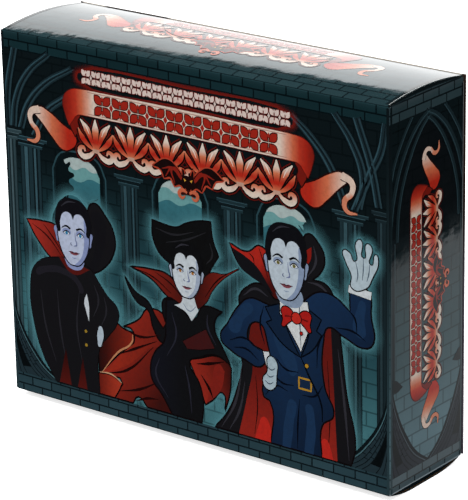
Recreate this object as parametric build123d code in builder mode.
"""Board game box: a tuck-end folding carton of printed board, standing on its long side.

Frame: X end to end, Y front to back (the front panel faces -Y), Z up.
Origin: the middle of the footprint, on the surface that the box stands on. Units: millimetres.

The carton is one die-cut blank. Four panels and a glue flap make the tube. Each end is shut by a
closure panel, creased to the front panel, whose tuck flap slides in behind the back panel, over two
dust flaps creased to the top and bottom panels. Inside are a folded insert, two decks of cards in
paper bands and a stapled rule booklet.
"""

import os

from build123d import *

os.makedirs("parts", exist_ok=True)

# Carton, outside
width = 190.0
depth = 50.0
corner_height = 155.0  # between the long folds, up the front panel
board = 0.6  # thickness of the printed board
fold_radius = 1.0  # outside radius of the four long folds
top_bow = 2.3  # rise of the arched top panel above its folds
base_bow = 2.8  # sag of the bottom panel below its folds
base_land = 16.0  # flat strip in the middle of the sagging bottom panel

# Manufacturer's seam, at the top of the back panel
glue_line = 0.05
glue_width = 14.0
glue_tuck_gap = 2.2  # from the tuck flap's tip to the end of the glue flap
glue_end_slant = 5.0
seam_proud = 0.3  # the back panel's cut edge stands this far above the fold

# Creases that move: a round bead on each flap turns in a seat in its neighbour
bead_radius = board / 2
seat_play = 0.04
seat_radius = bead_radius + seat_play
crease_setback = 0.25  # the front panel's outer face ends this far short of the crease's axis
tuck_relief = 1.0  # inner halves cut back at the tuck flap's crease, so that it can fold to 45 degrees

# Closure panels and their tuck flaps
closure_edge_gap = 0.4
closure_bow = 1.2  # rise of the closure panel's upper edge, which follows the arched top panel
tuck_length = 12.0
tuck_corner = 6.0
tuck_turn = 0.7  # how far it turns as it swings out, as a share of the closure panel's turn
tuck_swing_gap = 0.2  # left to the back panel's inner face in mid swing
tuck_edge_gap = 1.5

# Dust flaps
dust_gap = 0.4  # to the closure panel's inner face
dust_length = 36.0
dust_edge_gap = 0.35  # to the inside of the arched panel
dust_front_gap = 0.6
dust_back_gap = 0.6  # to the tuck flap
dust_taper = 0.66  # run per unit of length, so that it clears the closure panel as both open
dust_corner = 8.0
dust_bead_radius = board / 2 + 0.05

# Folded insert
insert_board = 0.8
insert_edge_gap = 0.5  # to the fold lines of the top and bottom panels
insert_end_gap = 1.8  # to the dust flaps
insert_back_gap = 0.25  # to the glue flap
trough_side_gap = 2.0  # from the cards to each side of their trough
booklet_space = 3.4  # between the front panel and the insert's shoulders
divider_thickness = 0.8
divider_side_gap = 0.3
divider_front_inset = 2.0
divider_tab = 12.0
divider_tab_reach = 1.6  # out of the trough's side
divider_slot_gap = 0.1

# Cards and their paper bands
card_length = 88.0
card_width = 63.0
card_thickness = 0.35
card_corner = 3.0
card_spacing = 0.02
cards_per_deck = 40
deck_back_gap = 0.4  # to the trough's floor
deck_lift = 0.9  # above what each deck stands on
deck_headroom = 1.2  # under the divider
band_width = 22.0
band_thickness = 0.2
band_clearance = 0.08

# Rule booklet, saddle stitched: folded sheets nested in a folded cover
booklet_end_gap = 6.0  # inside each end of the carton
booklet_lift = 0.9  # above the bottom panel's inner fold line
booklet_headroom = 8.9  # under the top panel's inner fold line
cover_thickness = 0.25
page_thickness = 0.2
page_sheets = 3
page_inset = 0.8  # the trimmed pages end short of the cover's fore edge
leaf_spacing = 0.02
staple_wire = 0.4  # wire diameter
staple_length = 12.0
staple_from_end = 36.0
staple_bend = 0.3
staple_hook = 4.0  # length of each end, turned over in the middle of the booklet

# Levels and planes that follow from the sizes
front_y = -depth / 2
back_y = depth / 2
corner_low = base_bow
corner_high = corner_low + corner_height
middle_z = (corner_low + corner_high) / 2
seam_y = back_y - board - glue_line  # outer face of the glue flap
panel_half = width / 2
hinge_x = panel_half - bead_radius  # closure crease, in the middle of its board
hinge_y = front_y + bead_radius
tuck_swing = (tuck_turn * tuck_length) ** 2 / (2 * depth)
tuck_y = back_y - board - tuck_swing - tuck_swing_gap - bead_radius
dust_x = panel_half - board - dust_gap - bead_radius
arched_half = dust_x + bead_radius
dust_crease_drop = board + bead_radius + 0.1  # from a fold line to the dust flap's crease
inside_low = corner_low + board
inside_high = corner_high - board
wedge = 5.0  # reach of the cuts that part the panels at the folds, more than either bow


def carton_outline(back, top, bow):
    """Outside of the tube's cross-section, with its folds rounded. Sketched in Y and Z."""
    with BuildSketch() as outline:
        with BuildLine():
            Line((-base_land / 2, 0), (base_land / 2, 0))
            TangentArc((base_land / 2, 0), (back, corner_low), tangent=(1, 0))
            Line((back, corner_low), (back, top))
            ThreePointArc((back, top), ((front_y + back) / 2, top + bow), (front_y, top))
            Line((front_y, top), (front_y, corner_low))
            TangentArc((-base_land / 2, 0), (front_y, corner_low), tangent=(-1, 0))
        make_face()
        fillet(outline.vertices().filter_by(lambda v: v.Y > corner_low / 2), fold_radius)
    return outline.sketch


def board_band(outline):
    """The board's own thickness, inside an outline."""
    with BuildSketch() as band:
        add(outline)
        offset(amount=-board, mode=Mode.SUBTRACT)
    return band.sketch


def tube_panel(band, corners, half_length):
    """One panel of the tube: the stretch of the band within the corners, drawn out along X."""
    with BuildPart() as panel:
        with BuildSketch(Plane.YZ):
            add(band)
            with BuildLine():
                Polyline(*corners, close=True)
            make_face(mode=Mode.INTERSECT)
        extrude(amount=half_length, both=True)
    return panel.part


def export(piece, name):
    """Labels a finished piece and writes its file."""
    piece.label = name
    export_step(piece, f"parts/{name}.step")


# The tube's two bands. The glued one carries the front, the top and the glue flap. The outer one
# carries the bottom and the back panel, which laps over the glue flap.
glued_outline = carton_outline(seam_y, corner_high, top_bow)
glued_band = board_band(glued_outline)
outer_band = board_band(carton_outline(back_y, corner_high + 4 * wedge, 0.5))

front_corners = [
    (front_y - wedge, corner_low - wedge),
    (front_y + wedge, corner_low + wedge),
    (front_y + wedge, corner_high - wedge),
    (front_y - wedge, corner_high + wedge),
]
top_corners = [
    (front_y - wedge, corner_high + wedge),
    (front_y + wedge, corner_high - wedge),
    (seam_y - wedge, corner_high - wedge),
    (seam_y + wedge, corner_high + wedge),
]
glue_corners = [
    (seam_y + wedge, corner_high + wedge),
    (seam_y - wedge, corner_high - wedge),
    (seam_y - wedge, corner_high - glue_width),
    (seam_y + wedge, corner_high - glue_width),
]
bottom_corners = [
    (front_y - wedge, corner_low - wedge),
    (front_y + wedge, corner_low + wedge),
    (back_y - wedge, corner_low + wedge),
    (back_y + wedge, corner_low - wedge),
]
back_corners = [
    (back_y + wedge, corner_low - wedge),
    (back_y - wedge, corner_low + wedge),
    (back_y - wedge, corner_high + seam_proud),
    (back_y + wedge, corner_high + seam_proud),
]

# Front panel. Each end is a seat for the bead of a closure panel, with its inner half cut back so
# that the closure panel can lie at a right angle to it.
with BuildPart() as front_panel:
    add(tube_panel(glued_band, front_corners, hinge_x - crease_setback))
    with Locations((-hinge_x, hinge_y, middle_z), (hinge_x, hinge_y, middle_z)):
        Cylinder(seat_radius, 2 * corner_height, mode=Mode.SUBTRACT)
    inner_half_y = hinge_y + bead_radius
    with Locations((-hinge_x, inner_half_y, middle_z), (hinge_x, inner_half_y, middle_z)):
        Box(2 * seat_radius, 2 * bead_radius, 2 * corner_height, mode=Mode.SUBTRACT)
export(front_panel.part, "front_panel")

# Top panel, arched from fold to fold
top_panel = tube_panel(glued_band, top_corners, arched_half)
export(top_panel, "top_panel")

# Bottom panel, which sags on to a flat strip
bottom_panel = tube_panel(outer_band, bottom_corners, arched_half)
export(bottom_panel, "bottom_panel")

# Back panel, with its cut edge standing just above the top panel's fold
back_panel = tube_panel(outer_band, back_corners, panel_half)
export(back_panel, "back_panel")

# Glue flap, folded down from the top panel behind the back panel, with slanted ends
with BuildPart() as glue_flap:
    add(tube_panel(glued_band, glue_corners, hinge_x - tuck_length - glue_tuck_gap))
    lower_corners = glue_flap.edges().filter_by(Axis.Y).group_by(Axis.Z)[0]
    chamfer(lower_corners, glue_width - fold_radius - wedge / 2, glue_end_slant)
export(glue_flap.part, "glue_flap")


def closure_panel():
    """Right closure panel: a bead in the front panel's seat, and a seat for its own tuck flap."""
    low = corner_low + closure_edge_gap
    high = corner_high - closure_edge_gap
    with BuildPart() as closure:
        with BuildSketch(Plane.XY.offset(low)):
            with Locations((hinge_x, (hinge_y + tuck_y) / 2)):
                Rectangle(board, tuck_y - hinge_y)
            with Locations((hinge_x, hinge_y)):
                Circle(bead_radius)
            with Locations((hinge_x, tuck_y)):
                Circle(seat_radius, mode=Mode.SUBTRACT)
            with Locations((hinge_x - bead_radius, tuck_y)):
                Rectangle(2 * bead_radius, 2 * tuck_relief, mode=Mode.SUBTRACT)
        extrude(amount=high + closure_bow - low)
        with BuildSketch(Plane.YZ.offset(hinge_x - board)):
            with BuildLine():
                Polyline((back_y, high), (back_y, low), (front_y, low), (front_y, high))
                ThreePointArc((front_y, high), (0, high + closure_bow), (back_y, high))
            make_face()
        extrude(amount=2 * board, mode=Mode.INTERSECT)
    return closure.part


def tuck_flap():
    """Right tuck flap, folded back into the carton, with its two free corners rounded."""
    low = inside_low + tuck_edge_gap
    with BuildPart() as tuck:
        with BuildSketch(Plane.XY.offset(low)):
            with Locations((hinge_x - tuck_length / 2, tuck_y)):
                Rectangle(tuck_length, board)
            with Locations((hinge_x, tuck_y - bead_radius)):
                Rectangle(2 * tuck_relief, 2 * bead_radius, mode=Mode.SUBTRACT)
            with Locations((hinge_x, tuck_y)):
                Circle(bead_radius)
        extrude(amount=inside_high - inside_low - 2 * tuck_edge_gap)
        fillet(tuck.edges().filter_by(Axis.Y).group_by(Axis.X)[0], tuck_corner)
    return tuck.part


def dust_flap(upward):
    """Right dust flap, on the top panel (upward 1) or the bottom panel (upward -1).

    Its creased edge follows the bowed panel, and its front edge tapers.
    """
    crease_z = (corner_high if upward > 0 else corner_low) - upward * dust_crease_drop
    root_z = crease_z + upward * wedge
    tip_z = crease_z - upward * dust_length
    near_y = front_y + board + dust_front_gap
    far_y = tuck_y - bead_radius - dust_back_gap
    with BuildPart() as dust:
        with BuildSketch(Plane.YZ.offset(dust_x - bead_radius)) as shape:
            add(glued_outline)
            offset(amount=-board - dust_edge_gap, mode=Mode.REPLACE)
            with BuildLine():
                Polyline(
                    (near_y, root_z),
                    (near_y, crease_z),
                    (near_y + dust_taper * dust_length, tip_z),
                    (far_y, tip_z),
                    (far_y, root_z),
                    close=True,
                )
            make_face(mode=Mode.INTERSECT)
            tip = shape.vertices().filter_by(lambda v: abs(v.Y - tip_z) < board)
            fillet(tip, dust_corner)
        extrude(amount=board)
        with Locations(Location((dust_x, (near_y + far_y) / 2, crease_z), (90, 0, 0))):
            Cylinder(dust_bead_radius, far_y - near_y)
    return dust.part


def mirrored(piece):
    """The left end's copy of a right-hand piece."""
    with BuildPart() as other:
        add(piece)
        mirror(about=Plane.YZ, mode=Mode.REPLACE)
    return other.part


# The two ends. The left one mirrors the right one.
end_pieces = {
    "closure_panel": closure_panel(),
    "tuck_flap": tuck_flap(),
    "upper_dust_flap": dust_flap(1),
    "lower_dust_flap": dust_flap(-1),
}
for name, piece in end_pieces.items():
    export(piece, f"right_{name}")
    export(mirrored(piece), f"left_{name}")

# Folded insert: a trough for the cards, between two shoulders that carry the booklet. The spaces
# behind the shoulders are open towards the carton's ends.
insert_height = inside_high - inside_low - 2 * insert_edge_gap
shoulder_y = front_y + board + booklet_space  # front face of the shoulders
floor_y = seam_y - board - insert_back_gap  # back face of the floor
floor_front = floor_y - insert_board
trough_width = card_length + 2 * trough_side_gap
trough_half = trough_width / 2
insert_end = dust_x - dust_bead_radius - insert_end_gap
wall_depth = floor_front - shoulder_y - insert_board

with BuildPart() as insert_floor:
    with Locations((0, floor_y - insert_board / 2, middle_z)):
        Box(trough_width + 2 * insert_board, insert_board, insert_height)
export(insert_floor.part, "insert_floor")

# Divider between the two decks, held by a tab through a slot in each wall of the trough
lower_deck_z = inside_low + deck_lift
divider_z = lower_deck_z + card_width + deck_headroom + divider_thickness / 2
divider_back = floor_front - divider_side_gap
divider_front = shoulder_y + insert_board + divider_front_inset
divider_y = (divider_front + divider_back) / 2
tab_half = trough_half + insert_board + divider_tab_reach
with BuildPart() as card_divider:
    with Locations((0, divider_y, divider_z)):
        Box(trough_width - 2 * divider_side_gap, divider_back - divider_front, divider_thickness)
        Box(2 * tab_half, divider_tab, divider_thickness)
export(card_divider.part, "card_divider")

for name, side in (("left", -1), ("right", 1)):
    with BuildPart() as wall:
        with Locations((side * (trough_half + insert_board / 2), floor_front - wall_depth / 2, middle_z)):
            Box(insert_board, wall_depth, insert_height)
        with Locations((side * trough_half, divider_y, divider_z)):
            Box(
                4 * insert_board,
                divider_tab + 2 * divider_slot_gap,
                divider_thickness + 2 * divider_slot_gap,
                mode=Mode.SUBTRACT,
            )
    export(wall.part, f"insert_{name}_wall")
    with BuildPart() as shoulder:
        with Locations((side * (trough_half + insert_end) / 2, shoulder_y + insert_board / 2, middle_z)):
            Box(insert_end - trough_half, insert_board, insert_height)
    export(shoulder.part, f"insert_{name}_shoulder")

# Two decks of cards, each a stack of separate cards in a paper band
card_pitch = card_thickness + card_spacing
deck_thickness = cards_per_deck * card_pitch - card_spacing
deck_back = floor_front - deck_back_gap
upper_deck_z = divider_z + divider_thickness / 2 + deck_lift
band_inside = deck_thickness + 2 * band_clearance
band_height = card_width + 2 * band_clearance
for name, low in (("lower", lower_deck_z), ("upper", upper_deck_z)):
    deck_z = low + card_width / 2
    card_faces = [
        Plane((0, deck_back - card_pitch * number, deck_z), x_dir=(1, 0, 0), z_dir=(0, -1, 0))
        for number in range(cards_per_deck)
    ]
    with BuildPart() as deck:
        with BuildSketch(*card_faces):
            RectangleRounded(card_length, card_width, card_corner)
        extrude(amount=card_thickness)
    export(deck.part, f"{name}_card_deck")
    with BuildPart() as band:
        with BuildSketch(Plane.YZ):
            with Locations((deck_back - deck_thickness / 2, deck_z)):
                Rectangle(band_inside + 2 * band_thickness, band_height + 2 * band_thickness)
                Rectangle(band_inside, band_height, mode=Mode.SUBTRACT)
        extrude(amount=band_width / 2, both=True)
    export(band.part, f"{name}_deck_band")

# Rule booklet, lying on the insert's shoulders. Its spine is at the left.
page_pitch = page_thickness + leaf_spacing
booklet_width = width - 2 * booklet_end_gap
booklet_low = inside_low + booklet_lift
booklet_height = inside_high - booklet_headroom - booklet_low
booklet_y = front_y + board + booklet_space / 2
booklet_middle_z = booklet_low + booklet_height / 2
spine_x = -booklet_width / 2
fold_gap = staple_wire + 2 * leaf_spacing  # left in the middle of the innermost sheet
cover_half = fold_gap / 2 + page_sheets * page_pitch + cover_thickness


def folded_sheet(spine, fore_edge, half_thickness, thickness):
    """A sheet folded at its spine, as a U that is open at the fore edge."""
    with BuildPart() as sheet:
        with BuildSketch(Plane.XY.offset(booklet_low)):
            with Locations(((spine + fore_edge) / 2, booklet_y)):
                Rectangle(fore_edge - spine, 2 * half_thickness)
            with Locations(((spine + fore_edge) / 2 + thickness, booklet_y)):
                Rectangle(fore_edge - spine, 2 * (half_thickness - thickness), mode=Mode.SUBTRACT)
        extrude(amount=booklet_height)
    return sheet.part


with BuildPart() as booklet_staples:
    outside_x = spine_x - staple_wire / 2
    inside_x = spine_x + cover_thickness + leaf_spacing + page_sheets * page_pitch + staple_wire / 2
    for end in (-1, 1):
        centre_z = booklet_middle_z + end * (booklet_height / 2 - staple_from_end)
        low, high = centre_z - staple_length / 2, centre_z + staple_length / 2
        with BuildLine() as wire:
            FilletPolyline(
                (inside_x, booklet_y, low + staple_hook),
                (inside_x, booklet_y, low),
                (outside_x, booklet_y, low),
                (outside_x, booklet_y, high),
                (inside_x, booklet_y, high),
                (inside_x, booklet_y, high - staple_hook),
                radius=staple_bend,
            )
        with BuildSketch(Plane(origin=wire.line @ 0, z_dir=wire.line % 0)):
            Circle(staple_wire / 2)
        sweep(path=wire.line)
export(booklet_staples.part, "booklet_staples")

with BuildPart() as booklet_cover:
    add(folded_sheet(spine_x, -spine_x, cover_half, cover_thickness))
    add(booklet_staples.part, mode=Mode.SUBTRACT)
export(booklet_cover.part, "booklet_cover")

with BuildPart() as booklet_pages:
    for number in range(page_sheets):
        half_thickness = cover_half - cover_thickness - leaf_spacing - number * page_pitch
        page_spine = spine_x + cover_thickness + leaf_spacing + number * page_pitch
        add(folded_sheet(page_spine, -spine_x - page_inset, half_thickness, page_thickness))
    add(booklet_staples.part, mode=Mode.SUBTRACT)
export(booklet_pages.part, "booklet_pages")
